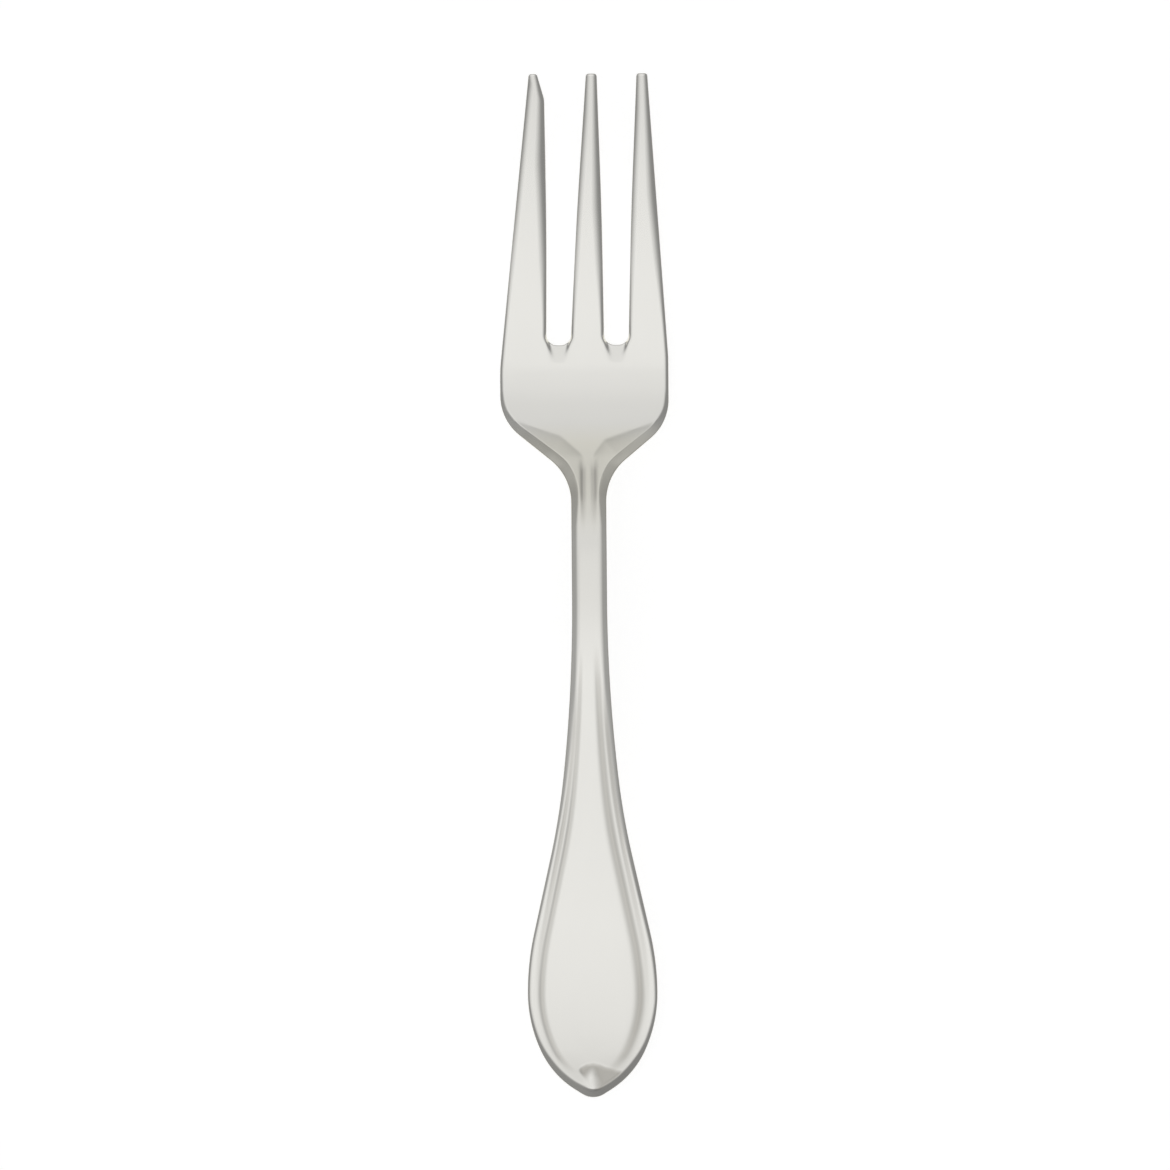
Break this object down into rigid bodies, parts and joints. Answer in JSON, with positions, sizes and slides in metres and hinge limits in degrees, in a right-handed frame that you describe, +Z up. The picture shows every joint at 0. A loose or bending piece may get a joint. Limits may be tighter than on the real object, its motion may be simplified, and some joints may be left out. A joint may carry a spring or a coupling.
{
  "type": "pastry fork",
  "caption": "Silver-plated pastry fork with slim tapering tines, a broad cutting tine, an arched neck and a pointed handle with a thread border.",
  "frame": {"origin": "centre of the fork's outline in plan, on the table that it lies on", "axes": "+Y along the handle's axis towards the tine tips, +Z up out of the front face, +X to the right seen from the front"},
  "size_m": [0.0248, 0.15, 0.0094],
  "materials": {
    "nickel_silver": "nickel silver (a white copper, nickel and zinc alloy), struck, hidden under the plate",
    "silver": "electroplated silver, softly polished"
  },
  "bodies": {
    "root": {"blank": "nickel_silver", "silver_plate": "silver", "heel_wear_pad": "silver", "handle_wear_pad": "silver"}
  },
  "joints": []
}
